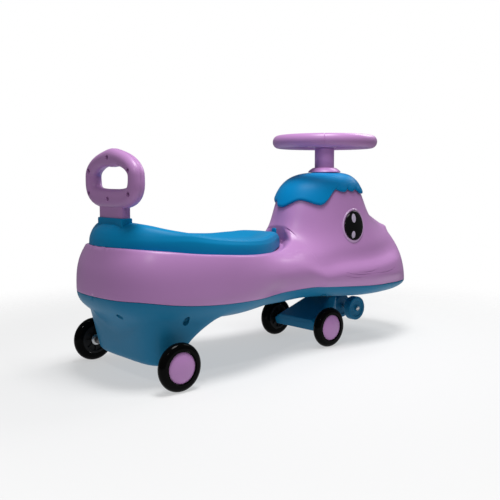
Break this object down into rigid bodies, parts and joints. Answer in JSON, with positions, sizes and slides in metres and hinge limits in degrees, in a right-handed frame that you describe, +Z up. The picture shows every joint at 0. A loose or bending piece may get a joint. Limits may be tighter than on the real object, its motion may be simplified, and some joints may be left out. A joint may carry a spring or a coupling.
{
  "type": "toddler ride-on swing car",
  "caption": "Animal-shaped ride-on swing car: moulded two-part body, seat, rear grab handle, steering wheel on a column that turns a front truck, wheels and anti-tip rollers.",
  "frame": {"origin": "on the floor, under the middle of the whole car with its wheels set straight", "axes": "+X towards the snout, +Y to the car's left, +Z up"},
  "size_m": [0.7524, 0.3022, 0.4321],
  "materials": {
    "lilac_plastic": "satin",
    "cap_blue_plastic": "satin",
    "seat_blue_plastic": "satin",
    "shell_blue_plastic": "satin",
    "truck_blue_plastic": "satin",
    "tyre_black": "polished",
    "core_black": "moulded",
    "eye_black": "polished",
    "bush_nylon": "moulded",
    "steel": "zinc plated"
  },
  "bodies": {
    "car": {"upper_body_shell": "lilac_plastic", "lower_body_shell": "shell_blue_plastic", "seat": "seat_blue_plastic", "handle_rear_half": "lilac_plastic", "handle_front_half": "lilac_plastic", "hair_cap": "cap_blue_plastic", "eye_left": "eye_black", "eye_right": "eye_black", "column_collar": "lilac_plastic", "lower_steering_bush": "bush_nylon", "rear_axle": "steel", "rear_left_push_nut": "steel", "rear_right_push_nut": "steel", "rear_left_spacer": "steel", "rear_right_spacer": "steel", "body_screw_1": "steel", "body_screw_2": "steel", "body_screw_3": "steel", "body_screw_4": "steel", "body_screw_5": "steel", "body_screw_6": "steel", "handle_screw_1": "steel", "handle_screw_2": "steel", "handle_screw_3": "steel", "handle_screw_4": "steel", "handle_screw_5": "steel", "handle_screw_6": "steel"},
    "steering": {"steering_truck": "truck_blue_plastic", "steering_shaft": "steel", "shaft_lock_nut": "steel", "steering_column": "lilac_plastic", "steering_wheel": "lilac_plastic", "steering_wheel_bolt": "steel", "steering_wheel_cap": "lilac_plastic", "front_axle": "steel", "front_left_push_nut": "steel", "front_right_push_nut": "steel", "front_left_washer": "steel", "front_right_washer": "steel", "roller_pin": "steel", "roller_nut_left": "steel", "roller_nut_right": "steel"},
    "rear_left_wheel": {"rear_left_tyre": "tyre_black", "rear_left_core": "core_black", "rear_left_hub_cap": "lilac_plastic"},
    "rear_right_wheel": {"rear_right_tyre": "tyre_black", "rear_right_core": "core_black", "rear_right_hub_cap": "lilac_plastic"},
    "front_left_wheel": {"front_left_tyre": "tyre_black", "front_left_core": "core_black", "front_left_hub_cap": "lilac_plastic"},
    "front_right_wheel": {"front_right_tyre": "tyre_black", "front_right_core": "core_black", "front_right_hub_cap": "lilac_plastic"},
    "left_roller": {"roller_left": "truck_blue_plastic"},
    "right_roller": {"roller_right": "truck_blue_plastic"}
  },
  "joints": [
    {"name": "steering_turn", "type": "hinge", "parent": "car", "child": "steering", "pos_m": [0.1778, 0, 0.2], "axis": [0, 0, 1], "continuous": true},
    {"name": "rear_left_wheel_spin", "type": "hinge", "parent": "car", "child": "rear_left_wheel", "pos_m": [-0.3002, 0.13905, 0.04], "axis": [0, 1, 0], "continuous": true},
    {"name": "rear_right_wheel_spin", "type": "hinge", "parent": "car", "child": "rear_right_wheel", "pos_m": [-0.3002, -0.13905, 0.04], "axis": [0, 1, 0], "continuous": true},
    {"name": "front_left_wheel_spin", "type": "hinge", "parent": "steering", "child": "front_left_wheel", "pos_m": [0.1118, 0.07835, 0.04], "axis": [0, 1, 0], "continuous": true},
    {"name": "front_right_wheel_spin", "type": "hinge", "parent": "steering", "child": "front_right_wheel", "pos_m": [0.1118, -0.07835, 0.04], "axis": [0, 1, 0], "continuous": true},
    {"name": "left_roller_spin", "type": "hinge", "parent": "steering", "child": "left_roller", "pos_m": [0.2558, 0.021, 0.055], "axis": [0, 1, 0], "continuous": true},
    {"name": "right_roller_spin", "type": "hinge", "parent": "steering", "child": "right_roller", "pos_m": [0.2558, -0.021, 0.055], "axis": [0, 1, 0], "continuous": true}
  ]
}
